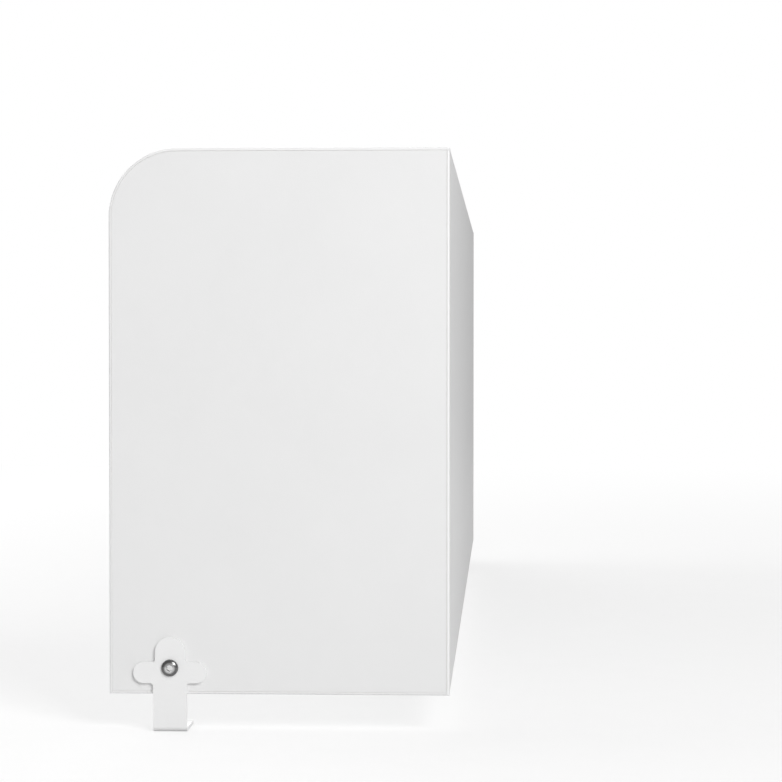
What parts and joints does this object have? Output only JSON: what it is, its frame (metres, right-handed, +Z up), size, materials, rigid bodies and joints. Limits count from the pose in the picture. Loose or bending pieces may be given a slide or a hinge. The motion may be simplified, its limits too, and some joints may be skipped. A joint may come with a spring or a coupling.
{
  "type": "desk privacy panel",
  "caption": "White U-shaped desk screen: a long back board between end wings with rounded top corners, held by steel brackets that hook under the desktop.",
  "frame": {"origin": "middle of the back screen's foot, on the desktop's top surface", "axes": "+Z up; +Y along the back screen; the wings point to -X, so a person at the desk faces +X"},
  "size_m": [0.25, 1.4116, 0.4275],
  "materials": {
    "melamine_board": "satin",
    "edge_band": "satin",
    "powder_coated_steel": "satin",
    "chromed_steel": "polished",
    "cast_zinc": "satin",
    "zinc_plated_steel": "satin",
    "beech": "matte"
  },
  "bodies": {
    "screen": {"back_screen_board": "melamine_board", "back_screen_top_band": "edge_band", "back_screen_foot_band": "edge_band", "right_wing_board": "melamine_board", "right_wing_front_band": "edge_band", "right_wing_rear_band": "edge_band", "right_wing_foot_band": "edge_band", "right_bracket": "powder_coated_steel", "right_sleeve_nut": "chromed_steel", "right_lower_cam_bolt": "zinc_plated_steel", "right_lower_dowel": "beech", "right_upper_cam_bolt": "zinc_plated_steel", "right_upper_dowel": "beech", "left_wing_board": "melamine_board", "left_wing_front_band": "edge_band", "left_wing_rear_band": "edge_band", "left_wing_foot_band": "edge_band", "left_bracket": "powder_coated_steel", "left_sleeve_nut": "chromed_steel", "left_lower_cam_bolt": "zinc_plated_steel", "left_lower_dowel": "beech", "left_upper_cam_bolt": "zinc_plated_steel", "left_upper_dowel": "beech"},
    "right_bracket_bolt": {"right_bracket_bolt": "chromed_steel"},
    "right_lower_cam": {"right_lower_cam": "cast_zinc"},
    "right_upper_cam": {"right_upper_cam": "cast_zinc"},
    "left_bracket_bolt": {"left_bracket_bolt": "chromed_steel"},
    "left_lower_cam": {"left_lower_cam": "cast_zinc"},
    "left_upper_cam": {"left_upper_cam": "cast_zinc"}
  },
  "joints": [
    {"name": "right_bracket_bolt_turn", "type": "hinge", "parent": "screen", "child": "right_bracket_bolt", "pos_m": [-0.196, -0.7027, 0.0195], "axis": [0, -1, 0], "continuous": true},
    {"name": "right_lower_cam_turn", "type": "hinge", "parent": "screen", "child": "right_lower_cam", "pos_m": [-0.0088, -0.648, 0.084], "axis": [-1, 0, 0], "range_deg": [0, 180]},
    {"name": "right_upper_cam_turn", "type": "hinge", "parent": "screen", "child": "right_upper_cam", "pos_m": [-0.0088, -0.648, 0.316], "axis": [-1, 0, 0], "range_deg": [0, 180]},
    {"name": "left_bracket_bolt_turn", "type": "hinge", "parent": "screen", "child": "left_bracket_bolt", "pos_m": [-0.196, 0.7027, 0.0195], "axis": [0, 1, 0], "continuous": true},
    {"name": "left_lower_cam_turn", "type": "hinge", "parent": "screen", "child": "left_lower_cam", "pos_m": [-0.0088, 0.648, 0.084], "axis": [-1, 0, 0], "range_deg": [0, 180]},
    {"name": "left_upper_cam_turn", "type": "hinge", "parent": "screen", "child": "left_upper_cam", "pos_m": [-0.0088, 0.648, 0.316], "axis": [-1, 0, 0], "range_deg": [0, 180]}
  ]
}
